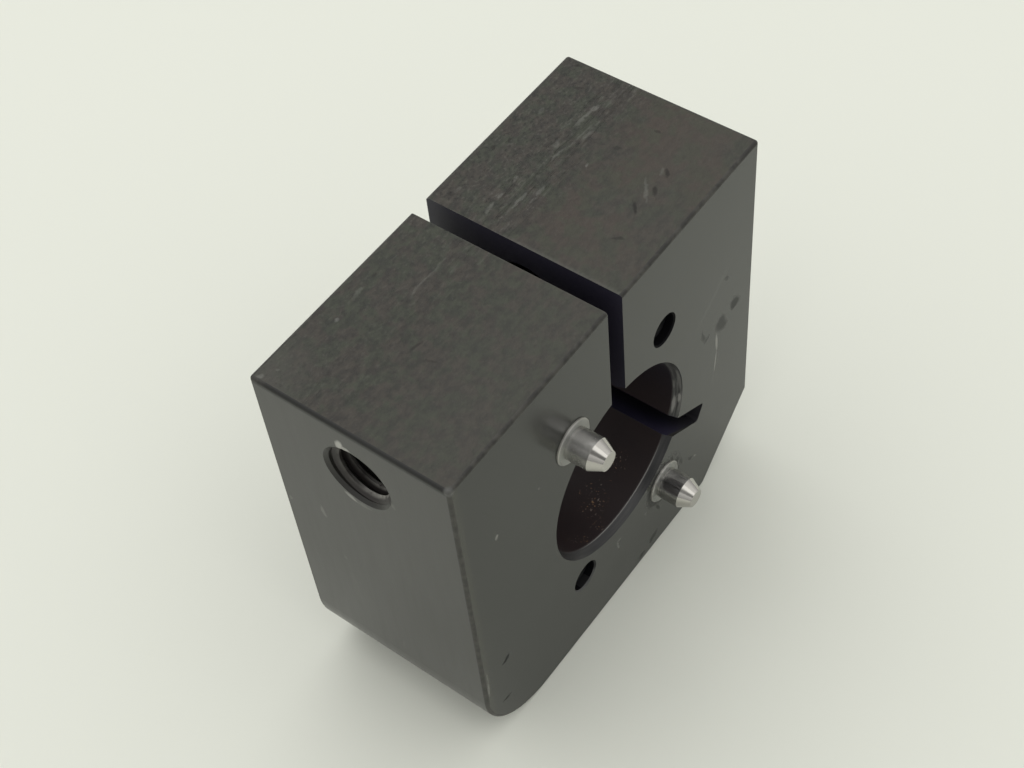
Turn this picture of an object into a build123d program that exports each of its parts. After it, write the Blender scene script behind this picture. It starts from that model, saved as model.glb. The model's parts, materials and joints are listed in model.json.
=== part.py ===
"""Split clamp block with two pressed-in locating pins.

Millimetres, +Z up. The origin is on the bore's axis at the middle of the block's
depth; the bore runs along Y and the front face looks towards -Y.
"""

import os
from math import cos, radians, sin, tan

from build123d import *

# Block blank
block_width = 55.0
block_height = 54.1
block_depth = 25.4
bore_height = 26.0  # bore axis above the bottom face
edge_radius = 0.4  # on the outlines of the front and back faces and the top's sides
left_corner_radius = 10.6
right_corner_bevel = 9.8

# Bore, with a tapered lead-in at the front and a broken edge at the back
bore_radius = 12.1
lead_in_width = 0.55  # how much wider the mouth is than the bore, on the radius
lead_in_depth = 1.15
bore_back_break = 0.4

# Slit through the top, and the relief slot that lets the jaws flex
slit_width = 2.6
relief_slot_width = 2.7
relief_slot_depth = 6.35  # beyond the rim of the bore's mouth
relief_slot_angle = 30.0  # below horizontal, to the right
relief_slot_offset = 0.3  # its centreline passes this far above the bore's axis
relief_slot_corner = 0.45

# Hole for the clamping screw, across both jaws: M8 thread on the left, clearance on the right
clamp_hole_below_top = 7.8
clamp_thread_radius = 4.0
clamp_countersink_width = 0.4
clamp_clearance = 0.5  # on the radius, in the right jaw
clamp_clearance_break = 0.3

# Locating pins
pin_radius = 2.0
pin_shank_length = 3.1  # from the front face to the nose
pin_nose_length = 1.55
pin_tip_radius = 1.2
pin_shoulder_width = 0.85  # the shoulder's overhang round the shank
pin_shoulder_height = 0.3
pin_shoulder_break = 0.15
pin_seat_radius = 2.5  # the thicker part that is pressed into the block
pin_seated_length = 8.0
pin_tail_break = 0.4
pin_seat_clearance = 0.005  # on the radius: modelled as a line-to-line fit
pin_seat_relief = 0.5  # room behind the pin's tail

# Tapped holes, M4
tapped_radius = 2.0
tapped_countersink_width = 0.18
tapped_depth = 8.0
tapped_offset_right = 0.45  # the tapped pair is drilled a little off the bore's axis
tapped_offset_up = 0.42

# Pattern of pins and tapped holes round the bore
pattern_angle = 59.2  # of each diagonal from the horizontal
mouth_to_pin_land = 1.95

drill_point_half_angle = 59.0
overcut = 1.0  # how far a cutting tool starts outside the metal

# Derived places
front_y = -block_depth / 2
back_y = block_depth / 2
right_x = block_width / 2
left_x = -block_width / 2
bottom_z = -bore_height
top_z = block_height - bore_height
mouth_radius = bore_radius + lead_in_width
clamp_hole_z = top_z - clamp_hole_below_top
clamp_clearance_radius = clamp_thread_radius + clamp_clearance
pattern_radius = mouth_radius + mouth_to_pin_land + pin_radius
pattern_x = pattern_radius * cos(radians(pattern_angle))
pattern_z = pattern_radius * sin(radians(pattern_angle))

pin_places = {
    "upper_left_pin": (-pattern_x, pattern_z),
    "lower_right_pin": (pattern_x, -pattern_z),
}
tapped_places = [
    (pattern_x + tapped_offset_right, pattern_z + tapped_offset_up),
    (-pattern_x + tapped_offset_right, -pattern_z + tapped_offset_up),
]


def turned(profile):
    """Solid of revolution about Y. The profile lists (radius, y) points in order."""
    with BuildPart() as solid:
        with BuildSketch():
            with BuildLine():
                Polyline(*profile, close=True)
            make_face()
        revolve(axis=Axis.Y)
    return solid.part


def blank():
    """Slab with a rounded lower left corner, a bevelled lower right one and rounded edges."""
    with BuildPart() as slab:
        with BuildSketch(Plane.XZ):
            with Locations((0, (bottom_z + top_z) / 2)):
                Rectangle(block_width, block_height)
            chamfer(vertices().group_by(Axis.Y)[0].sort_by(Axis.X)[-1], right_corner_bevel)
            fillet(vertices().group_by(Axis.X)[0].sort_by(Axis.Y)[0], left_corner_radius)
        extrude(amount=block_depth / 2, both=True)
        outlines = edges().group_by(Axis.Y)
        top_sides = edges().filter_by(Axis.Y).group_by(Axis.Z)[-1]
        fillet(outlines[0] + outlines[-1] + top_sides, edge_radius)
    return slab.part


def bore_cut():
    """The bore with its lead-in and its back edge's break."""
    back_radius = bore_radius + bore_back_break
    return turned([
        (0, front_y - overcut),
        (mouth_radius, front_y - overcut),
        (mouth_radius, front_y),
        (bore_radius, front_y + lead_in_depth),
        (bore_radius, back_y - bore_back_break),
        (back_radius, back_y),
        (back_radius, back_y + overcut),
        (0, back_y + overcut),
    ])


def slit_cut():
    """Slit from the bore's axis up through the top, which makes the two jaws."""
    height = top_z + overcut
    return Pos(0, 0, height / 2) * Box(slit_width, block_depth + 2 * overcut, height)


def relief_slot_cut():
    """Slot from the bore's axis outwards, opposite the left jaw's root."""
    reach = mouth_radius + relief_slot_depth
    plate = Pos(reach / 2, 0, relief_slot_offset) * Box(
        reach, block_depth + 2 * overcut, relief_slot_width
    )
    end_corners = plate.edges().filter_by(Axis.Y).group_by(Axis.X)[-1]
    return Rot(0, relief_slot_angle, 0) * fillet(end_corners, relief_slot_corner)


def clamp_hole_cut():
    """Screw hole across the jaws: thread radius with a countersink left, clearance right."""
    mouth = clamp_thread_radius + clamp_countersink_width
    exit_mouth = clamp_clearance_radius + clamp_clearance_break
    hole = turned([
        (0, left_x - overcut),
        (mouth, left_x - overcut),
        (mouth, left_x),
        (clamp_thread_radius, left_x + clamp_countersink_width),
        (clamp_thread_radius, 0),
        (clamp_clearance_radius, 0),
        (clamp_clearance_radius, right_x - clamp_clearance_break),
        (exit_mouth, right_x),
        (exit_mouth, right_x + overcut),
        (0, right_x + overcut),
    ])
    return Pos(0, 0, clamp_hole_z) * Rot(0, 0, -90) * hole


def blind_hole_cut(radius, depth, countersink_width):
    """Blind hole from the front face with a drill point and, if wanted, a countersink."""
    mouth = radius + countersink_width
    floor_y = front_y + depth
    point_depth = radius / tan(radians(drill_point_half_angle))
    return turned([
        (0, front_y - overcut),
        (mouth, front_y - overcut),
        (mouth, front_y),
        (radius, front_y + countersink_width),
        (radius, floor_y),
        (0, floor_y + point_depth),
    ])


def clamp_block():
    """The finished block."""
    body = blank() - bore_cut() - slit_cut() - relief_slot_cut() - clamp_hole_cut()
    for x, z in tapped_places:
        body -= Pos(x, 0, z) * blind_hole_cut(tapped_radius, tapped_depth, tapped_countersink_width)
    for x, z in pin_places.values():
        seat = turned([
            (0, front_y - overcut),
            (pin_seat_radius + pin_seat_clearance, front_y - overcut),
            (pin_seat_radius + pin_seat_clearance, front_y + pin_seated_length + pin_seat_relief),
            (0, front_y + pin_seated_length + pin_seat_relief),
        ])
        body -= Pos(x, 0, z) * seat
    return body


def locating_pin():
    """Shouldered pin with a conical nose, seated by its shoulder on the front face."""
    tail_y = front_y + pin_seated_length
    shoulder_radius = pin_radius + pin_shoulder_width
    shoulder_y = front_y - pin_shoulder_height
    nose_y = front_y - pin_shank_length
    tip_y = nose_y - pin_nose_length
    return turned([
        (0, tail_y),
        (pin_seat_radius - pin_tail_break, tail_y),
        (pin_seat_radius, tail_y - pin_tail_break),
        (pin_seat_radius, front_y),
        (shoulder_radius, front_y),
        (shoulder_radius, shoulder_y + pin_shoulder_break),
        (shoulder_radius - pin_shoulder_break, shoulder_y),
        (pin_radius, shoulder_y),
        (pin_radius, nose_y),
        (pin_tip_radius, tip_y),
        (0, tip_y),
    ])


os.makedirs("parts", exist_ok=True)
export_step(clamp_block(), "parts/clamp_block.step")
for name, (x, z) in pin_places.items():
    export_step(Pos(x, 0, z) * locating_pin(), f"parts/{name}.step")
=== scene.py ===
"""Looks of a split clamp block: blackened steel, bright pins, threads and the studio."""

import json
import math

import bmesh
import bpy
from mathutils import Matrix, Vector

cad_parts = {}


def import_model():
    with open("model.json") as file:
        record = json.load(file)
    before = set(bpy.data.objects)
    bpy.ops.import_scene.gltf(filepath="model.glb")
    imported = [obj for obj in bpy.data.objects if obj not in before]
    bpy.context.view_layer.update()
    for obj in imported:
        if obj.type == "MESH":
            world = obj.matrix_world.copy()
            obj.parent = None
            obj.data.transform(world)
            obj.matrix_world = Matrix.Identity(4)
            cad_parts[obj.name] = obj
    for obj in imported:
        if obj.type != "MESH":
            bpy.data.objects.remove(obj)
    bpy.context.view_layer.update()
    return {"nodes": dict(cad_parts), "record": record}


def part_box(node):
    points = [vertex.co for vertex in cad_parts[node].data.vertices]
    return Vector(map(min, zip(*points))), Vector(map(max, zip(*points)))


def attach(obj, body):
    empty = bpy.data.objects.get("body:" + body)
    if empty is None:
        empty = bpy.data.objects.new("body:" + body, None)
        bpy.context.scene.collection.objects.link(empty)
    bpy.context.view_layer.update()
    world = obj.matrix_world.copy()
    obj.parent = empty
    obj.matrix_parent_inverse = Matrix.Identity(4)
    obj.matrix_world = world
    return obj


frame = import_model()

MM = 0.001
block_low, block_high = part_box("clamp_block")
LOW, HIGH = block_low / MM, block_high / MM
LEFT, FRONT, BOTTOM = LOW
RIGHT, BACK, TOP = HIGH
mounts = {m["name"]: m for m in frame["record"]["mounts"]}

# Millimetres and degrees, as in the part's source
EDGE_RADIUS = 0.4
CORNER_RADIUS = 10.6
HALF_SLIT = 1.3

BORE_RADIUS = mounts["bore"]["dims"]["r_mm"]
MOUTH_RADIUS = BORE_RADIUS + 0.55
LEAD_IN_DEPTH = 1.15

RELIEF_ANGLE = 30.0
RELIEF_RAISE = 0.3
HALF_RELIEF_SLOT = 1.35
RELIEF_SLOT_END = MOUTH_RADIUS + 6.35

CLAMP_RADIUS = mounts["clamp_thread"]["dims"]["r_mm"]
CLAMP_COUNTERSINK = 0.4
CLAMP_PITCH = 1.25

TAPPED_HOLES = ("upper_right_tapped_hole", "lower_left_tapped_hole")
TAPPED_RADIUS = mounts[TAPPED_HOLES[0]]["dims"]["r_mm"]
TAPPED_COUNTERSINK = 0.18
TAPPED_DEPTH = 8.0
TAPPED_PITCH = 0.7

SHOULDER_RADIUS = 2.85
SHOULDER_HEIGHT = 0.3
SHANK_LENGTH = 3.1


def place_mm(name):
    """Where a mount is, in millimetres."""
    return Vector(mounts[name]["pos_m"]) / MM


# ---------------------------------------------------------------- shader helpers

def node(tree, kind, inputs=None, **settings):
    """Adds a shader node; an input is a number, a tuple or another node's output."""
    made = tree.nodes.new(kind)
    for name, value in settings.items():
        setattr(made, name, value)
    for name, value in (inputs or {}).items():
        if isinstance(value, bpy.types.NodeSocket):
            tree.links.new(value, made.inputs[name])
        else:
            made.inputs[name].default_value = value
    return made


class Shade:
    """A node tree under construction. Each call adds a node and returns its output."""

    def __init__(self, tree):
        self.tree = tree

    def add(self, kind, inputs=None, **settings):
        return node(self.tree, kind, inputs, **settings)

    def calc(self, operation, *values):
        made = self.add("ShaderNodeMath", dict(enumerate(values)), operation=operation)
        return made.outputs[0]

    def plus(self, value, more):
        return self.calc("ADD", value, more)

    def minus(self, value, less):
        return self.calc("SUBTRACT", value, less)

    def times(self, value, factor):
        return self.calc("MULTIPLY", value, factor)

    def vector(self, operation, *values):
        made = self.add("ShaderNodeVectorMath", dict(enumerate(values)), operation=operation)
        scalar = operation in ("DOT_PRODUCT", "LENGTH", "DISTANCE")
        return made.outputs["Value" if scalar else "Vector"]

    def ease(self, value, start, end):
        """0 at start, 1 at end, and smooth between them."""
        inputs = {"Value": value, "From Min": start, "From Max": end}
        made = self.add("ShaderNodeMapRange", inputs, interpolation_type="SMOOTHSTEP")
        return made.outputs[0]

    def span(self, value, start, end):
        """From start to end as value goes from 0 to 1."""
        inputs = {"Value": value, "To Min": start, "To Max": end}
        return self.add("ShaderNodeMapRange", inputs).outputs[0]

    def mix(self, share, first, second, blend="MIX"):
        """A colour from first to second."""
        inputs = {0: share, 6: first, 7: second}
        made = self.add("ShaderNodeMix", inputs, data_type="RGBA", blend_type=blend)
        return made.outputs[2]

    def noise(self, place, scale, detail=2.0, stretch=(1, 1, 1), roughness=0.5):
        """Noise with that many features a millimetre, drawn out where stretch is small."""
        if stretch != (1, 1, 1):
            place = self.vector("MULTIPLY", place, stretch)
        inputs = {"Vector": place, "Scale": scale, "Detail": detail, "Roughness": roughness}
        return self.add("ShaderNodeTexNoise", inputs).outputs[0]

    def all_of(self, *masks):
        """The masks' product."""
        result = masks[0]
        for mask in masks[1:]:
            result = self.times(result, mask)
        return result

    def any_of(self, *masks):
        """The strongest of the masks."""
        result = masks[0]
        for mask in masks[1:]:
            result = self.calc("MAXIMUM", result, mask)
        return result


class Surface(Shade):
    """A material, with the place on the part in millimetres."""

    def __init__(self, name):
        self.material = bpy.data.materials.new(name)
        self.material.use_nodes = True
        super().__init__(self.material.node_tree)
        self.tree.nodes.clear()
        metres = self.add("ShaderNodeTexCoord").outputs["Object"]
        scaled = self.add("ShaderNodeVectorMath", {0: metres, "Scale": 1 / MM}, operation="SCALE")
        self.place = scaled.outputs["Vector"]
        split = self.add("ShaderNodeSeparateXYZ", {0: self.place})
        self.x, self.y, self.z = split.outputs

    def finish(self, inputs):
        """The surface shader, joined to the material's output."""
        shader = self.add("ShaderNodeBsdfPrincipled", inputs)
        self.add("ShaderNodeOutputMaterial", {"Surface": shader.outputs[0]})
        return self.material

    def bump(self, height_mm):
        """A normal for small relief. Cycles works the height out three times: keep it short."""
        inputs = {"Height": height_mm, "Distance": MM, "Strength": 1.0}
        return self.add("ShaderNodeBump", inputs).outputs[0]

    def off_axis(self, across, up, centre=(0.0, 0.0)):
        """Distance in millimetres from an axis, in the plane of two coordinates."""
        a = self.minus(across, centre[0])
        b = self.minus(up, centre[1])
        return self.calc("SQRT", self.plus(self.times(a, a), self.times(b, b)))

    def worn_edges(self, radius_mm):
        """0 on flat ground, rising within that distance of any edge."""
        rounded = self.add("ShaderNodeBevel", {"Radius": radius_mm * MM}, samples=6).outputs[0]
        flat = self.add("ShaderNodeNewGeometry").outputs["True Normal"]
        along = self.vector("DOT_PRODUCT", rounded, flat)
        return self.ease(along, 0.998, 0.95)

    def strokes(self, marks, place=None):
        """Mask of soft marks, each (start, end, half width, strength), in millimetres."""
        drawn = 0.0
        for start, end, width, strength in marks:
            start, end = Vector(start), Vector(end)
            inputs = {
                "Vector": place or self.place,
                "Location": (start + end) / 2,
                "Rotation": (end - start).to_track_quat("X", "Z").to_euler(),
                "Scale": ((end - start).length / 2 + width, width, width),
            }
            within = self.add("ShaderNodeMapping", inputs, vector_type="TEXTURE").outputs[0]
            away = self.vector("LENGTH", within)
            inputs = {"Value": away, "From Min": 1.0, "From Max": 0.4, "To Max": strength}
            mark = self.add("ShaderNodeMapRange", inputs, interpolation_type="SMOOTHSTEP")
            drawn = self.calc("MAXIMUM", mark.outputs[0], drawn)
        return drawn


# ---------------------------------------------------------------- blackened steel

# Places on the faces that the camera sees

def on_front(x, z):
    return (x, FRONT, z)


def on_top(x, y):
    return (x, y, TOP)


def on_left(y, z):
    return (LEFT, y, z)


def marks_on(face, rows):
    """Marks for strokes(): each row has a start, an end, a half width and a strength."""
    return [(face(*row[0:2]), face(*row[2:4]), *row[4:]) for row in rows]


# Marks that handling has left
FRONT_SPOTS = marks_on(on_front, [
    (23.5, 4.9, 24.1, 4.2, 1.1, 0.6),
    (23.2, 4.4, 23.5, 3.9, 0.7, 0.6),
    (20.2, 3.9, 21.5, 2.6, 1.25, 0.5),
    (20.8, 4.3, 21.2, 3.5, 1.0, 0.5),
    (16.6, 6.1, 17.2, 4.0, 0.5, 0.4),
    (18.2, 4.0, 17.4, 3.6, 0.5, 0.4),
    (21.6, 10.9, 21.9, 10.6, 0.5, 0.35),
    (-23.0, -10.3, -23.7, -10.8, 0.5, 1.0),
    (-23.5, -18.6, -24.8, -18.6, 0.3, 0.8),
    (6.7, -23.5, 5.4, -24.0, 0.65, 0.45),
    (3.9, -24.6, 3.0, -25.1, 0.45, 0.45),
    (5.5, -15.3, 5.8, -16.7, 0.4, 0.5),
    (7.0, -17.5, 7.4, -19.4, 0.35, 0.5),
    (12.4, -15.4, 12.2, -13.9, 0.4, 0.4),
    (14.0, -16.0, 14.9, -17.0, 0.35, 0.4),
])
FRONT_SCRATCHES = marks_on(on_front, [
    (19.9, 2.6, 20.1, -0.9, 0.32, 1.0),
    (20.1, -0.4, 19.6, -4.8, 0.22, 0.8),
    (19.6, -4.8, 19.2, -6.4, 0.18, 0.3),
    (14.1, 6.3, 24.6, 14.5, 0.6, 0.10),
    (-21.9, 13.4, -22.0, 13.0, 0.36, 0.8),
    (-14.7, 13.0, -14.6, 12.9, 0.25, 0.3),
    (-18.6, -5.3, -18.5, -5.4, 0.25, 0.3),
    (15.5, -17.2, 15.6, -17.3, 0.3, 0.6),
    (4.5, -16.6, 4.6, -16.7, 0.3, 0.4),
    (-0.7, -15.2, -1.5, -15.0, 0.25, 0.45),
    (-1.5, -15.0, -1.2, -17.0, 0.25, 0.45),
    (-26.8, -8.3, -26.7, -11.5, 0.2, 0.35),
    (-26.8, -10.5, -26.9, -14.3, 0.25, 0.6),
])
TOP_SCRATCHES = marks_on(on_top, [
    (22.3, 5.1, 21.7, 5.2, 0.45, 0.8),
    (22.2, 5.1, 18.5, 5.4, 0.3, 0.65),
    (19.3, 3.3, 16.9, 3.4, 0.28, 0.5),
    (15.9, 4.4, 12.7, 4.5, 0.25, 0.5),
    (15.7, 5.5, 14.9, 5.4, 0.42, 0.45),
    (10.5, 2.9, 5.8, 2.7, 0.28, 0.55),
    (8.2, 3.9, 4.1, 3.9, 0.28, 0.65),
    (8.9, 6.2, 8.3, 6.1, 0.35, 0.6),
    (6.1, 6.1, 5.5, 6.0, 0.34, 0.6),
    (4.5, 6.1, 2.7, 5.7, 0.3, 0.6),
    (18.9, 10.0, 18.3, 9.9, 0.42, 0.38),
    (4.3, 10.5, 3.8, 10.4, 0.35, 0.38),
    (14.4, 0.8, 14.6, 0.8, 0.28, 0.55),
    (-3.6, 5.6, -11.8, 5.5, 0.22, 0.38),
    (-11.8, 10.4, -14.1, 10.2, 0.25, 0.35),
    (-16.9, 9.9, -17.1, 9.9, 0.34, 0.85),
    (-26.6, 11.5, -27.0, 11.9, 0.35, 0.6),
    (-25.2, 10.8, -25.1, 10.7, 0.3, 0.4),
    (16.4, -5.5, 13.0, -7.7, 0.26, 0.5),
    (14.9, -6.5, 14.4, -6.9, 0.34, 0.6),
    (18.6, -6.1, 17.4, -6.9, 0.25, 0.4),
])
TOP_NICKS = marks_on(on_top, [
    (12.9, -6.4, 11.1, -7.6, 0.34, 1.0),
    (15.8, -6.9, 14.7, -7.7, 0.42, 0.9),
    (18.6, -6.7, 17.4, -7.4, 0.32, 0.9),
    (7.1, -7.3, 7.8, -8.5, 0.25, 0.7),
    (18.2, -0.3, 18.4, -0.8, 0.45, 0.6),
    (22.7, -2.7, 22.7, -2.9, 0.4, 0.6),
    (13.1, 10.1, 12.9, 10.1, 0.34, 0.8),
    (11.3, 11.0, 11.1, 11.0, 0.36, 0.8),
    (3.2, 10.8, 3.0, 10.7, 0.36, 0.7),
    (26.3, 11.2, 26.7, 10.4, 0.35, 0.8),
    (23.3, 9.0, 24.1, 7.9, 0.3, 0.6),
    (-10.3, 10.5, -10.0, 10.5, 0.34, 0.6),
    (-14.5, 0.8, -16.0, 1.1, 0.3, 0.6),
    (-16.6, -0.6, -15.8, -2.1, 0.25, 0.5),
])
LEFT_SCRATCHES = marks_on(on_left, [
    (7.1, 9.3, 6.7, 7.4, 0.4, 0.7),
    (5.2, -2.2, 4.7, -9.6, 0.7, 0.10),
    (5.3, 0.5, 5.3, 0.3, 0.35, 0.3),
    (12.0, 7.1, 12.0, 6.7, 0.35, 0.5),
    (-0.9, -12.0, -0.7, -14.0, 0.2, 0.3),
    (0.9, 15.2, -1.1, 15.4, 0.35, 0.4),
    (-4.4, 19.4, -4.6, 18.6, 0.35, 0.35),
])
RIM_CHIPS = marks_on(on_left, [
    (1.6, 24.6, 1.35, 25.4, 0.62, 0.72),
    (1.3, 24.85, 0.4, 24.85, 0.42, 0.6),
    (2.4, 15.9, 1.0, 15.2, 0.4, 0.35),
])

# Where dust lies on the bore's wall, each (start, end, half width, strength)
DUST_DRIFTS = [
    ((5.4, -8.3, -10.8), (6.2, -8.0, -10.3), 1.4, 0.55),
    ((0.8, -8.7, -12.1), (-1.8, -8.5, -12.0), 1.6, 0.62),
    ((-2.0, -10.4, -11.9), (-3.0, -10.9, -11.8), 1.1, 0.5),
    ((-4.6, -11.0, -11.1), (-7.3, -10.0, -9.7), 1.2, 0.35),
    ((3.0, -8.2, -11.7), (0.0, -6.0, -12.1), 1.4, 0.35),
    ((11.6, -7.0, -3.4), (11.6, -6.9, -3.3), 0.35, 1.0),
]

# Painted highlights on the lead-in, in the same form
LEAD_IN_GLINTS = [
    ((11.5, -11.9, -4.3), (12.2, -11.9, -1.3), 0.3, 0.9),
    ((12.3, -12.4, -2.5), (12.5, -12.4, -1.0), 0.28, 0.9),
    ((12.2, -11.8, -0.3), (12.1, -11.7, 1.7), 0.24, 0.4),
]

# Colours that surfaces share, and how much their edges are worn
WORN = (0.13, 0.13, 0.12, 1)
SCRATCHED = (0.17, 0.17, 0.155, 1)
KNOCKED = (0.08, 0.08, 0.075, 1)
BARE = (0.50, 0.49, 0.46, 1)
INK = (0.004, 0.004, 0.005, 1)
EDGE_WEAR = 0.3


def worn(s, colour):
    """The colour with the black rubbed off along the edges, and knocked off one corner."""
    brightened = s.ease(s.noise(s.place, 0.5, 3), 0.35, 0.65)
    lines = s.times(s.all_of(s.worn_edges(0.18), brightened), EDGE_WEAR)
    corner = (LEFT + 0.2, FRONT + 0.2, TOP - 0.2)
    knocked = s.ease(s.vector("DISTANCE", shaken(s, 0.7), corner), 0.8, 0.35)
    return s.mix(knocked, s.mix(lines, colour, WORN), KNOCKED)


def steel(s, colour, roughness, height, metallic=0.0, ior=1.45):
    """Finishes a blackened surface. A lower ior makes it shine less."""
    return s.finish({
        "Base Color": colour,
        "Roughness": roughness,
        "Metallic": metallic,
        "IOR": ior,
        "Normal": s.bump(height),
    })


def shaken(s, amount):
    """The place, pushed about so that marks get ragged outlines."""
    wander = s.add("ShaderNodeTexNoise", {"Vector": s.place, "Scale": 0.9, "Detail": 3})
    middle = s.vector("SUBTRACT", wander.outputs["Color"], (0.5, 0.5, 0.5))
    return s.vector("ADD", s.place, s.vector("MULTIPLY", middle, (amount,) * 3))


def scaled_top():
    """The top: rolled scale, mottled and pitted, with drag marks across both jaws."""
    s = Surface("black_scale")
    patches = s.noise(s.place, 0.2, 3)
    mottle = s.noise(s.place, 1.1, 4, (0.7, 1, 1), 0.6)
    grain = s.noise(s.place, 3.0, 3, (0.7, 1, 1), 0.6)
    drag = s.noise(s.place, 1.5, 3, (0.16, 1.4, 1))
    ragged = shaken(s, 0.9)

    mottled = s.ease(mottle, 0.28, 0.70)
    colour = s.mix(mottled, (0.0125, 0.012, 0.0085, 1), (0.037, 0.036, 0.027, 1))
    warm = s.all_of(s.ease(patches, 0.40, 0.58), s.ease(s.x, -6.0, 10.0), s.ease(s.y, 3.0, -2.0))
    colour = s.mix(s.times(warm, 0.45), colour, (0.046, 0.033, 0.023, 1))
    pinker = s.ease(s.noise(s.place, 0.55, 2), 0.4, 0.6)
    tint = s.mix(pinker, (0.90, 1.06, 0.88, 1), (1.10, 0.95, 0.97, 1))
    colour = s.mix(1.0, colour, tint, "MULTIPLY")
    # Lighter towards the front, and a painted highlight near the back left corner
    to_corner = s.vector("DISTANCE", s.place, (LEFT, BACK, TOP))
    at_front = s.times(s.ease(s.y, 4.0, -11.0), 0.3)
    corner_highlight = s.times(s.ease(to_corner, 9.0, 2.0), 0.6)
    colour = s.mix(s.any_of(at_front, corner_highlight), colour, (0.052, 0.050, 0.041, 1))
    coarse = s.times(s.ease(s.y, -4.0, 8.0), s.span(s.ease(s.x, -6.0, 4.0), 0.4, 1.0))
    # Light flecks beside the pits are painted glints
    glint_flecks = s.all_of(s.ease(grain, 0.54, 0.70), s.span(coarse, 0.12, 0.42))
    colour = s.mix(glint_flecks, colour, (0.088, 0.083, 0.070, 1))
    pits = s.all_of(s.ease(grain, 0.43, 0.30), s.span(coarse, 0.15, 0.8))
    colour = s.mix(s.times(pits, 0.8), colour, (0.007, 0.007, 0.007, 1))

    stronger = s.span(s.ease(s.x, -8.0, 2.0), 0.35, 1.0)
    band = s.all_of(s.ease(s.y, 0.5, 3.0), s.ease(s.y, 7.8, 6.0), stronger)
    dragged = s.all_of(s.ease(drag, 0.54, 0.68), band, s.ease(mottle, 0.42, 0.58))
    light = s.any_of(s.strokes(TOP_SCRATCHES, ragged), s.times(dragged, 0.4))
    furrows = s.all_of(s.ease(drag, 0.46, 0.34), band)
    dark = s.any_of(s.strokes(TOP_NICKS, ragged), s.times(furrows, 0.22))
    beside_slit = s.all_of(
        s.ease(s.x, HALF_SLIT + 0.55, HALF_SLIT + 0.1), s.ease(s.x, 0, 0.1), s.ease(s.y, 3.5, 1.0)
    )
    light = s.any_of(light, s.times(beside_slit, 0.3))
    colour = s.mix(s.times(dark, 0.8), colour, (0.007, 0.005, 0.004, 1))
    colour = s.mix(s.times(light, s.span(grain, 0.2, 0.85)), colour, SCRATCHED)
    colour = worn(s, colour)

    height = s.times(mottle, 0.12)
    height = s.plus(height, s.times(grain, s.span(coarse, 0.012, 0.03)))
    height = s.minus(height, s.times(pits, 0.03))
    height = s.minus(height, s.times(furrows, 0.05))
    roughness = s.plus(s.span(mottle, 0.34, 0.52), s.times(dark, 0.2))
    return steel(s, colour, roughness, height, ior=1.43)


def milled_front():
    """The front: smooth enough to mirror the pins, with oil spots and light scratches."""
    s = Surface("black_front")
    clouds = s.noise(s.place, 0.25, 3)
    fine = s.noise(s.place, 4.0, 2)
    ragged = shaken(s, 0.9)
    # Darker than the other milled faces: painted shade
    colour = s.mix(clouds, (0.0095, 0.0105, 0.0085, 1), (0.0135, 0.0145, 0.0115, 1))
    beside_edge = s.all_of(s.ease(s.x, LEFT + 1.6, LEFT + 0.6), s.span(clouds, 0.2, 0.8))
    colour = s.mix(beside_edge, colour, (0.040, 0.040, 0.026, 1))

    # Residue round the lower right pin's shoulder: flakes, and a dark rim on its left
    pin = place_mm("lower_right_pin_end")
    away = s.off_axis(s.x, s.z, (pin.x, pin.z))
    flakes = s.all_of(
        s.ease(away, SHOULDER_RADIUS + 1.55, SHOULDER_RADIUS + 0.25),
        s.ease(s.noise(s.place, 1.5, 3), 0.48, 0.56),
    )
    rim = s.all_of(
        s.ease(away, SHOULDER_RADIUS + 1.05, SHOULDER_RADIUS + 0.45),
        s.ease(s.x, pin.x - 0.5, pin.x - 2.0),
    )
    residue = s.times(s.any_of(flakes, rim), 0.5)

    spots = s.any_of(s.strokes(FRONT_SPOTS, ragged), residue)
    colour = s.mix(s.times(spots, 0.9), colour, INK)
    light = s.strokes(FRONT_SCRATCHES)
    colour = s.mix(s.times(light, 0.9), colour, SCRATCHED)
    colour = worn(s, colour)

    roughness = s.plus(s.span(clouds, 0.20, 0.26), s.times(spots, 0.45))
    height = s.times(fine, 0.0015)
    height = s.minus(height, s.times(s.any_of(light, flakes), 0.02))
    return steel(s, colour, roughness, height, ior=1.41)


def milled_left():
    """The left side: satin, drawn up and down, with a bare chip at the screw hole's rim."""
    s = Surface("black_left")
    drawn = s.noise(s.place, 1.1, 3, (1, 1, 0.12))
    ragged = shaken(s, 0.8)
    # Lighter than the other milled faces: painted light
    colour = s.mix(drawn, (0.031, 0.031, 0.029, 1), (0.041, 0.041, 0.037, 1))
    light = s.strokes(LEFT_SCRATCHES, ragged)
    colour = s.mix(s.times(light, 0.75), colour, SCRATCHED)
    # Painted light: lighter towards the bottom
    colour = s.mix(s.ease(s.z, 2.0, BOTTOM), colour, (0.074, 0.074, 0.070, 1))
    # Painted shade: a dark strip just under the top edge
    uneven = s.span(s.noise(s.place, 0.6, 2), 0.5, 1.0)
    shade_under_top = s.times(s.ease(s.z, TOP - 0.95, TOP - 0.45), uneven)
    colour = s.mix(s.times(shade_under_top, 0.8), colour, INK)
    colour = worn(s, colour)
    bare = s.strokes(RIM_CHIPS, shaken(s, 0.4))
    colour = s.mix(bare, colour, BARE)
    height = s.times(s.noise(s.place, 4.0, 2, (1, 1, 0.3)), 0.006)
    height = s.minus(height, s.times(bare, 0.08))
    roughness = s.plus(s.span(drawn, 0.28, 0.38), s.times(shade_under_top, 0.25))
    return steel(s, colour, roughness, height, s.times(bare, 0.5))


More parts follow.
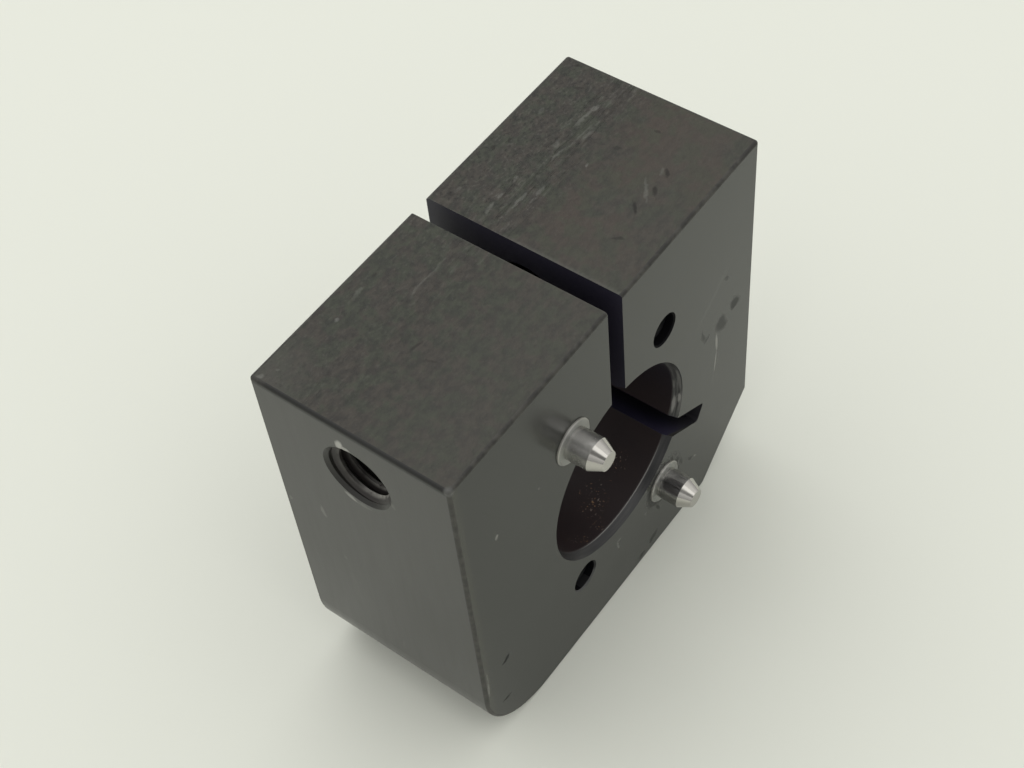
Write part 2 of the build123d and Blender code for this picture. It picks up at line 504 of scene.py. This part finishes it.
def broken_edges():
    """The rounded edges, where the black lies thick and dull."""
    s = Surface("black_edges")
    patches = s.noise(s.place, 0.8, 3)
    patchy = s.ease(patches, 0.35, 0.65)
    colour = s.mix(patchy, (0.016, 0.015, 0.013, 1), (0.044, 0.042, 0.036, 1))
    # Painted shade along the top left edge
    shade_on_top_left = s.all_of(
        s.ease(s.x, LEFT + 1.0, LEFT + 0.5),
        s.ease(s.z, TOP - 1.0, TOP - 0.5),
        s.ease(s.y, BACK - 1.0, BACK - 3.0),
    )
    colour = s.mix(shade_on_top_left, colour, (0.007, 0.007, 0.006, 1))
    colour = worn(s, colour)
    height = s.times(s.noise(s.place, 3.0, 2), 0.01)
    return steel(s, colour, s.span(patches, 0.4, 0.55), height)


def other_steel():
    """Everything else: plain milled faces, the bore, the slit and the holes."""
    s = Surface("black_steel")
    drawn = s.noise(s.place, 1.1, 3, (1, 1, 0.12))
    clouds = s.noise(s.place, 0.3, 3)
    colour = s.mix(drawn, (0.024, 0.024, 0.023, 1), (0.033, 0.034, 0.031, 1))

    from_bore = s.off_axis(s.x, s.z)
    in_bore = s.ease(from_bore, BORE_RADIUS + 0.06, BORE_RADIUS + 0.03)

    # The two slots, painted as blue-black shade through the block
    in_slit = s.all_of(
        s.ease(s.calc("ABSOLUTE", s.x), HALF_SLIT + 0.03, HALF_SLIT + 0.01),
        s.ease(s.z, BORE_RADIUS - 0.4, BORE_RADIUS - 0.2),
    )
    angle = math.radians(RELIEF_ANGLE)
    along_slot = s.vector("DOT_PRODUCT", s.place, (math.cos(angle), 0, -math.sin(angle)))
    across_slot = s.vector("DOT_PRODUCT", s.place, (math.sin(angle), 0, math.cos(angle)))
    off_slot = s.calc("ABSOLUTE", s.minus(across_slot, RELIEF_RAISE))
    in_slot = s.all_of(
        s.ease(along_slot, BORE_RADIUS - 0.3, BORE_RADIUS),
        s.ease(along_slot, RELIEF_SLOT_END + 0.1, RELIEF_SLOT_END + 0.03),
        s.ease(off_slot, HALF_RELIEF_SLOT + 0.04, HALF_RELIEF_SLOT + 0.02),
    )

    # The small holes. The tapped ones are painted near black as shade, and the lower left one's
    # countersink has a painted highlight at the bottom.
    off_screw = s.off_axis(s.y, s.z, (0.0, place_mm("clamp_thread").z))
    in_screw_hole = s.ease(off_screw, CLAMP_RADIUS + 0.6, CLAMP_RADIUS + 0.52)
    near_front = s.ease(s.y, FRONT + TAPPED_DEPTH + 3.0, FRONT + TAPPED_DEPTH + 2.5)
    tapped_mouth = TAPPED_RADIUS + TAPPED_COUNTERSINK
    in_tapped = []
    for name in TAPPED_HOLES:
        hole = place_mm(name)
        away = s.off_axis(s.x, s.z, (hole.x, hole.z))
        inside = s.ease(away, tapped_mouth + 0.04, tapped_mouth + 0.02)
        in_tapped.append(s.all_of(near_front, inside))
    lower_left = place_mm(TAPPED_HOLES[1])
    lip_highlight = s.all_of(
        in_tapped[1],
        s.ease(s.z, lower_left.z - 0.6, lower_left.z - 1.3),
        s.ease(s.y, FRONT + TAPPED_COUNTERSINK + 0.04, FRONT + TAPPED_COUNTERSINK),
    )

    # The bore: brown below, painted darker than the faces and bluer above as shade, with rusty dust
    # on its lower wall
    bore = s.mix(clouds, (0.012, 0.007, 0.0085, 1), (0.019, 0.0105, 0.0105, 1))
    bore = s.mix(s.ease(s.z, -6.0, 6.0), bore, (0.011, 0.0075, 0.0145, 1))
    grit = s.ease(s.noise(s.place, 3.6, 2), 0.61, 0.68)
    dust = s.all_of(grit, s.strokes(DUST_DRIFTS), in_bore)
    greyer = s.ease(s.noise(s.place, 1.5, 1), 0.45, 0.55)
    dust_colour = s.mix(greyer, (0.30, 0.17, 0.08, 1), (0.24, 0.20, 0.17, 1))

    # Painted highlights in streaks round the right jaw's lead-in; its inner edge below is rubbed
    # bright
    around = s.calc("ARCTAN2", s.z, s.x)
    on_lead_in = s.all_of(
        s.ease(from_bore, BORE_RADIUS + 0.03, BORE_RADIUS + 0.06),
        s.ease(from_bore, MOUTH_RADIUS + 0.2, MOUTH_RADIUS + 0.1),
        s.ease(s.y, FRONT + LEAD_IN_DEPTH + 0.05, FRONT + LEAD_IN_DEPTH - 0.05),
    )
    unrolled = {0: s.times(around, 3.0), 1: s.times(s.y, 3.5)}
    ring_place = s.add("ShaderNodeCombineXYZ", unrolled).outputs[0]
    streaks = s.ease(s.noise(ring_place, 0.9, 3), 0.40, 0.66)
    jaw_highlights = s.all_of(s.ease(around, -0.5, -0.2), s.ease(around, 1.35, 0.9), streaks)
    inner = s.all_of(
        s.ease(from_bore, BORE_RADIUS + 0.13, BORE_RADIUS + 0.05),
        s.ease(around, -0.6, -1.0),
        s.ease(around, -2.3, -1.8),
        s.span(clouds, 0.4, 1.4),
    )
    painted_glints = s.strokes(LEAD_IN_GLINTS, shaken(s, 0.3))
    brightened = s.all_of(on_lead_in, s.any_of(s.times(jaw_highlights, 0.4), inner, painted_glints))
    lead_in = s.mix(streaks, (0.014, 0.014, 0.016, 1), (0.028, 0.027, 0.028, 1))

    colour = s.mix(on_lead_in, colour, lead_in)
    colour = s.mix(brightened, colour, (0.24, 0.235, 0.225, 1))
    colour = s.mix(in_bore, colour, bore)
    colour = s.mix(dust, colour, dust_colour)
    colour = s.mix(in_screw_hole, colour, (0.022, 0.021, 0.019, 1))
    colour = s.mix(s.any_of(*in_tapped), colour, INK)
    colour = s.mix(lip_highlight, colour, (0.06, 0.06, 0.06, 1))
    # Painted shade in the slit and relief slot: blue-black, darker deeper in the slot
    colour = s.mix(in_slit, colour, (0.015, 0.013, 0.026, 1))
    slot_shade = s.mix(s.ease(along_slot, 13.0, 17.5), (0.022, 0.019, 0.043, 1), (0.011, 0.010, 0.014, 1))
    colour = s.mix(in_slot, colour, slot_shade)

    cut = s.any_of(in_bore, in_slit, in_slot, *in_tapped)
    roughness = s.calc("MAXIMUM", s.span(drawn, 0.3, 0.4), s.times(cut, 0.55))
    height = s.times(s.noise(s.place, 4.0, 2, (1, 1, 0.3)), 0.006)
    height = s.plus(height, s.times(s.any_of(dust, brightened), 0.02))
    return steel(s, colour, roughness, height)


def hole_shade():
    """The walls of the small holes: near black as painted shade, so they hardly shine."""
    s = Surface("black_holes")
    height = s.times(s.noise(s.place, 3.0, 2), 0.01)
    return steel(s, INK, 0.6, height, ior=1.15)


def threaded(name, mouth, axis, crest, root, bright_side, colours):
    """A thread's ridge. The colours are its root's, its crest's and its brighter side's."""
    s = Surface(name)
    from_mouth = s.vector("SUBTRACT", s.place, mouth)
    away = s.vector("LENGTH", s.vector("MULTIPLY", from_mouth, [1 - abs(a) for a in axis]))
    on_crest = s.all_of(
        s.ease(away, crest + 0.6 * (root - crest), crest + 0.1 * (root - crest)),
        s.ease(s.noise(s.place, 0.8, 3), 0.3, 0.6),
    )
    sided = s.ease(s.vector("DOT_PRODUCT", from_mouth, bright_side), 0.2 * root, 0.9 * root)
    brightened = s.all_of(on_crest, sided)
    colour = s.mix(brightened, s.mix(on_crest, colours[0], colours[1]), colours[2])
    height = s.times(s.noise(s.place, 3.0, 3), 0.02)
    return steel(s, colour, 0.34, height, s.times(brightened, 0.5), ior=1.35)


def bright_steel():
    """Turned pins: fine rings round the axis, a duller shoulder, and grime on the right one."""
    s = Surface("bright_steel")
    rings = s.noise(s.place, 9.0, 2, (0.02, 1, 0.02))
    smears = s.noise(s.place, 0.9, 3)
    shoulder, nose = FRONT - SHOULDER_HEIGHT, FRONT - SHANK_LENGTH
    on_shoulder = s.ease(s.y, shoulder - 0.06, shoulder - 0.02)
    on_rim = s.ease(s.y, shoulder + 0.02, shoulder + 0.1)
    on_nose = s.ease(s.y, nose + 0.05, nose - 0.02)
    on_right_pin = s.ease(s.x, -1.0, 1.0)
    grime = s.all_of(
        s.ease(s.noise(s.place, 2.2, 3), 0.50, 0.58),
        s.ease(s.y, FRONT - 1.9, FRONT - 0.4),
        on_right_pin,
    )
    colour = s.mix(s.ease(smears, 0.35, 0.7), (0.60, 0.59, 0.57, 1), (0.48, 0.47, 0.45, 1))
    colour = s.mix(on_nose, colour, (0.47, 0.455, 0.43, 1))
    colour = s.mix(on_shoulder, colour, (0.30, 0.30, 0.29, 1))
    colour = s.mix(on_rim, colour, (0.42, 0.41, 0.39, 1))
    colour = s.mix(s.times(grime, 0.3), colour, (0.08, 0.078, 0.065, 1))
    duller = s.all_of(s.minus(1.0, on_right_pin), s.minus(1.0, on_nose))
    roughness = s.plus(s.span(on_nose, 0.14, 0.12), s.times(smears, 0.08))
    roughness = s.plus(roughness, s.times(duller, 0.08))
    roughness = s.plus(roughness, s.times(on_shoulder, 0.2))
    height = s.times(rings, s.span(on_nose, 0.003, 0.0015))
    tangent = s.add("ShaderNodeTangent", direction_type="RADIAL", axis="Y").outputs[0]
    return s.finish({
        "Base Color": colour,
        "Roughness": roughness,
        "Metallic": 1.0,
        "Anisotropic": 0.8,
        "Anisotropic Rotation": 0.25,
        "Tangent": tangent,
        "Normal": s.bump(height),
    })


# ---------------------------------------------------------------- object

ALIGNED = 0.999  # a unit normal's share along an axis that it follows
NEAR = 0.01
THREAD_HEIGHT = 0.541  # of an internal metric thread, in pitches
MERGED = 0.002 * MM
SMOOTH_BELOW = math.radians(25)

def dress_block():
    """The block's faces and its rounded edges get their finishes; the cuts share one."""
    piece = frame["nodes"]["clamp_block"]
    mesh = piece.data
    mesh.materials.clear()
    finishes = [
        other_steel(), scaled_top(), milled_front(), milled_left(), broken_edges(), hole_shade()
    ]
    for material in finishes:
        mesh.materials.append(material)
    other, top, front, left, edge, hole = range(len(finishes))

    flats = [(2, 1, TOP, top), (1, -1, FRONT, front), (0, -1, LEFT, left)]
    tapped = [place_mm(name) for name in TAPPED_HOLES]
    for face in mesh.polygons:
        place, normal = face.center / MM, face.normal
        face.material_index = other
        for axis, way, level, finish in flats:
            if normal[axis] * way > ALIGNED and abs(place[axis] - level) < NEAR:
                face.material_index = finish

        in_corner = max(place.x - LEFT, place.z - BOTTOM) < CORNER_RADIUS + EDGE_RADIUS
        if in_corner and normal.x < -0.05 and abs(normal.y) < NEAR:
            face.material_index = left

        off_bore = math.hypot(place.x, place.z) - BORE_RADIUS
        off_tapped = [math.hypot(place.x - at.x, place.z - at.z) - TAPPED_RADIUS for at in tapped]
        off_outline = min(place.y - FRONT, BACK - place.y, TOP - place.z)
        slanting = max(abs(part) for part in normal) < ALIGNED
        if slanting and off_outline < EDGE_RADIUS and off_bore > 1.0 and min(off_tapped) > 0.5:
            face.material_index = edge

        # The upper right hole's countersink gets the same painted shade as its wall
        if place.y > FRONT + NEAR and (min(off_tapped) < 0.03 or off_tapped[0] < 0.3):
            face.material_index = hole


def dress_pins():
    """Both pins share one finish."""
    material = bright_steel()
    for name in ("upper_left_pin", "lower_right_pin"):
        piece = frame["nodes"][name]
        piece.data.materials.clear()
        piece.data.materials.append(material)


def thread_ridge(
    name, mouth, axis, root, pitch, countersink, first, depth, steps, bright_side, colours
):
    """The ridge of an internal right-hand thread, clipped by the hole's countersink.

    mouth is the middle of the hole's mouth, axis points into the hole, root is the hole's
    own radius, and the thread runs from the depth first to depth, all in millimetres. A
    turn has that many steps.
    """
    crest = root - THREAD_HEIGHT * pitch
    buried = root + 0.03
    half_base, half_crest = 7 / 16 * pitch, pitch / 8
    profile = [(-half_base, buried), (-half_crest, crest), (half_crest, crest), (half_base, buried)]
    side = Vector((0, 0, 1))
    other = axis.cross(side)
    made = bmesh.new()
    sections = []
    turns = (depth - first - 2 * half_base) / pitch
    for step in range(int(turns * steps) + 1):
        angle = 2 * math.pi * step / steps
        middle = first + pitch * step / steps
        outward = side * math.cos(angle) + other * math.sin(angle)
        section = []
        for offset, radius in profile:
            deep = middle + offset
            if deep < first:
                deep, radius = first, buried
            radius = min(max(radius, root + countersink - deep), buried)
            section.append(made.verts.new((mouth + axis * deep + outward * radius) * MM))
        sections.append(section)
    for before, after in zip(sections, sections[1:]):
        for i in range(4):
            j = (i + 1) % 4
            made.faces.new((before[i], before[j], after[j], after[i]))
    made.faces.new(sections[0])
    made.faces.new(sections[-1])
    for face in made.faces:
        face.smooth = len(face.verts) == 4
    bmesh.ops.remove_doubles(made, verts=made.verts, dist=MERGED)
    bmesh.ops.dissolve_degenerate(made, edges=made.edges, dist=MERGED)
    bmesh.ops.recalc_face_normals(made, faces=made.faces)
    for edge in made.edges:
        edge.smooth = len(edge.link_faces) != 2 or edge.calc_face_angle(0) < SMOOTH_BELOW
    mesh = bpy.data.meshes.new(name)
    made.to_mesh(mesh)
    made.free()
    piece = bpy.data.objects.new(name, mesh)
    bpy.context.scene.collection.objects.link(piece)
    mesh.materials.append(threaded(name, mouth, axis, crest, root, bright_side, colours))
    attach(piece, "root")


dress_block()
dress_pins()
clamp_mouth = place_mm("clamp_thread")
clamp_mouth.x = LEFT
thread_ridge(
    "clamp_thread", clamp_mouth, Vector((1, 0, 0)), CLAMP_RADIUS, CLAMP_PITCH, CLAMP_COUNTERSINK,
    first=CLAMP_COUNTERSINK + 0.02, depth=-LEFT - HALF_SLIT, steps=72, bright_side=(0, -0.8, -0.6),
    colours=[(0.034, 0.030, 0.029, 1), (0.066, 0.063, 0.058, 1), (0.30, 0.29, 0.27, 1)],
)
# The tapped threads are near black: painted shade inside the small holes
for hole_name in TAPPED_HOLES:
    hole_mouth = place_mm(hole_name)
    hole_mouth.y = FRONT
    thread_ridge(
        hole_name.replace("tapped_hole", "thread"), hole_mouth, Vector((0, 1, 0)),
        TAPPED_RADIUS, TAPPED_PITCH, TAPPED_COUNTERSINK,
        first=1.1, depth=TAPPED_DEPTH, steps=48, bright_side=(0, 0, -1),
        colours=[INK, (0.006, 0.006, 0.006, 1), (0.02, 0.02, 0.02, 1)],
    )


# ---------------------------------------------------------------- studio

def floor():
    """A pale table under the block."""
    mesh = bpy.data.meshes.new("floor")
    half = 3.0
    corners = [(-half, -half), (half, -half), (half, half), (-half, half)]
    mesh.from_pydata([(x, y, block_low.z) for x, y in corners], [], [(0, 1, 2, 3)])
    piece = bpy.data.objects.new("floor", mesh)
    bpy.context.scene.collection.objects.link(piece)
    s = Surface("pale_floor")
    mesh.materials.append(s.finish({"Base Color": (0.80, 0.815, 0.745, 1), "Roughness": 0.9}))


def key_lamp():
    """A large soft lamp behind the block, aimed at its bore."""
    data = bpy.data.lights.new("key", "AREA")
    data.shape = "RECTANGLE"
    data.size = data.size_y = 0.5
    data.energy = 0.5
    lamp = bpy.data.objects.new("key", data)
    place = Vector((0.13, 0.31, 0.65))
    lamp.location = place
    lamp.rotation_mode = "QUATERNION"
    lamp.rotation_quaternion = (-place).to_track_quat("-Z", "Y")
    bpy.context.scene.collection.objects.link(lamp)


def world():
    """A pale room: bright ceiling, dimmer walls, a window and whoever holds the camera."""
    made = bpy.data.worlds.new("room")
    bpy.context.scene.world = made
    made.use_nodes = True
    made.node_tree.nodes.clear()
    s = Shade(made.node_tree)
    direction = s.add("ShaderNodeTexCoord").outputs["Generated"]
    height = s.add("ShaderNodeSeparateXYZ", {0: direction}).outputs[2]
    holder = Vector((-0.44, -0.45, 0.77)).normalized()
    window = Vector((0.08, -0.47, 0.88)).normalized()
    towards_holder = s.vector("DOT_PRODUCT", direction, holder)
    towards_window = s.vector("DOT_PRODUCT", direction, window)
    strength = s.span(s.ease(height, 0.05, 0.85), 0.545, 1.145)
    strength = s.times(strength, s.span(s.ease(towards_holder, 0.2, 0.95), 1.0, 0.88))
    strength = s.times(strength, s.span(s.ease(towards_holder, 0.95, 0.98), 1.0, 0.2))
    strength = s.times(strength, s.span(s.ease(towards_window, 0.96, 0.98), 1.0, 1.6))

    # Seen straight on, the room is an even backdrop
    seen = s.add("ShaderNodeLightPath").outputs["Is Camera Ray"]
    strength = s.add("ShaderNodeMix", {0: seen, 2: strength, 3: 0.9}).outputs[0]
    sky = s.add("ShaderNodeBackground", {"Color": (1.0, 1.0, 0.97, 1), "Strength": strength})
    s.add("ShaderNodeOutputWorld", {"Surface": sky.outputs[0]})


def camera():
    """Looks down on the block's front, left and top, turned a little about its own axis."""
    data = bpy.data.cameras.new("camera")
    data.sensor_width = 36.0
    data.lens = 61.83
    data.clip_start = 0.01
    data.clip_end = 20.0
    made = bpy.data.objects.new("camera", data)
    azimuth, elevation, roll = math.radians(-48.0), math.radians(52.69), math.radians(-6.93)
    made.location = Vector((-91.36, -79.81, 165.10)) * MM
    ahead = Vector((
        -math.sin(azimuth) * math.cos(elevation),
        math.cos(azimuth) * math.cos(elevation),
        -math.sin(elevation),
    ))
    level = ahead.to_track_quat("-Z", "Y")
    made.rotation_mode = "QUATERNION"
    made.rotation_quaternion = level @ Matrix.Rotation(roll, 3, "Z").to_quaternion()
    bpy.context.scene.collection.objects.link(made)
    bpy.context.scene.camera = made


floor()
world()
key_lamp()
camera()
bpy.context.scene.view_settings.view_transform = "Standard"
